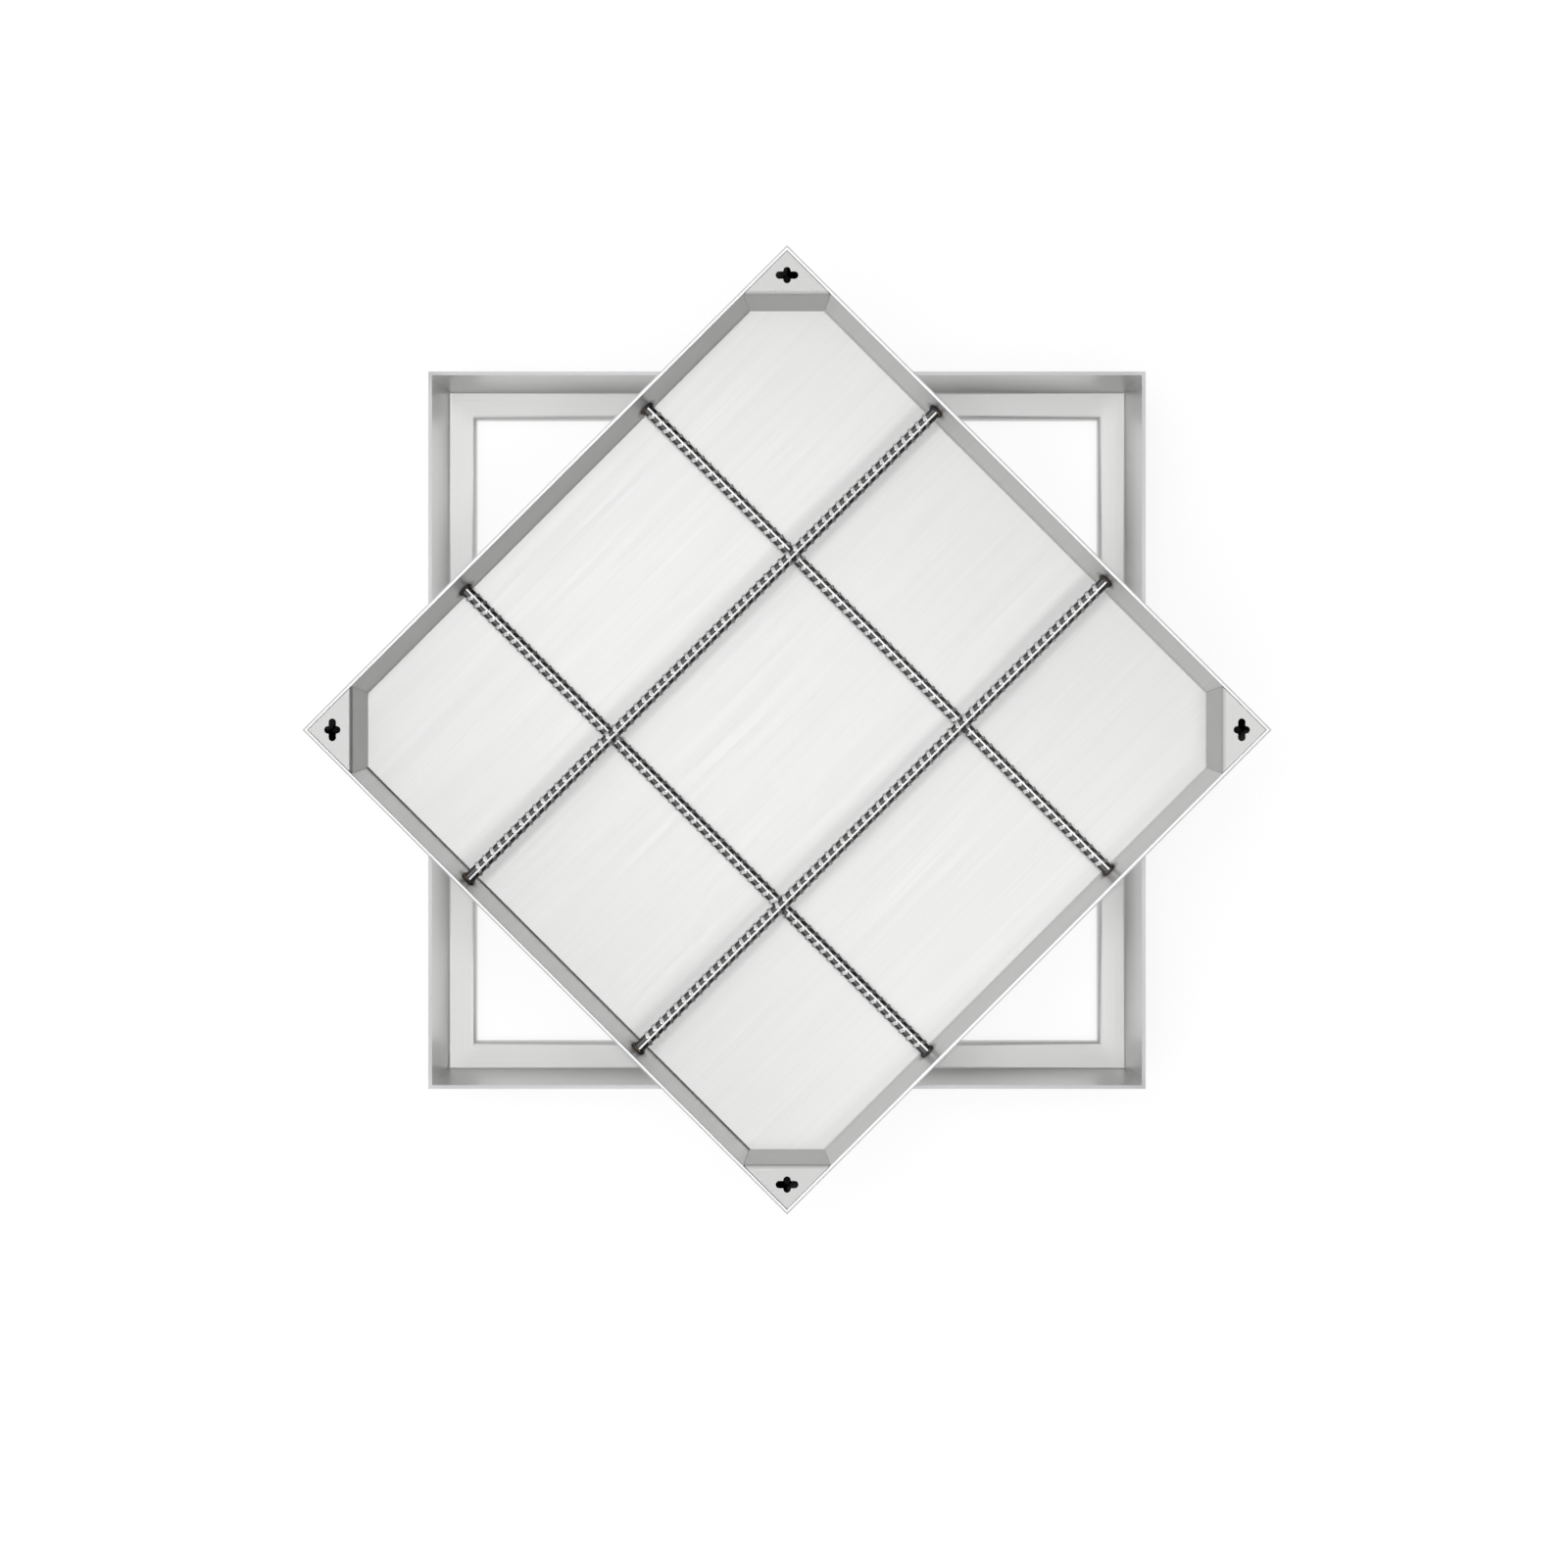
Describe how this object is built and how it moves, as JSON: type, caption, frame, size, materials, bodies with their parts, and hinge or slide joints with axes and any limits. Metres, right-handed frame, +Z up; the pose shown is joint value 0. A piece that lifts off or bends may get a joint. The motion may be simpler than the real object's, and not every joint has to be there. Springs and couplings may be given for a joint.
{
  "type": "recessed access cover",
  "caption": "Square recessed access cover: a folded steel infill tray with ribbed bars and key holes, laid cornerwise on its bevelled frame.",
  "frame": {"origin": "middle of the frame's underside, on the surface that it stands on", "axes": "+Z up out of the tray; X and Y along the frame's sides; the tray's corners point along X and Y"},
  "size_m": [0.8058, 0.8058, 0.107],
  "materials": {
    "frame_steel": "brushed along each rail",
    "tray_steel": "brushed, with the grain across the floor",
    "plate_steel": "brushed along the fold",
    "bar_steel": "bright rolled, ribbed"
  },
  "bodies": {
    "root": {"frame_rail_north": "frame_steel", "frame_rail_west": "frame_steel", "frame_rail_south": "frame_steel", "frame_rail_east": "frame_steel", "tray_pan": "tray_steel", "corner_plate_north": "plate_steel", "corner_plate_west": "plate_steel", "corner_plate_south": "plate_steel", "corner_plate_east": "plate_steel", "lower_bar_1": "bar_steel", "lower_bar_2": "bar_steel", "upper_bar_1": "bar_steel", "upper_bar_2": "bar_steel"}
  },
  "joints": []
}
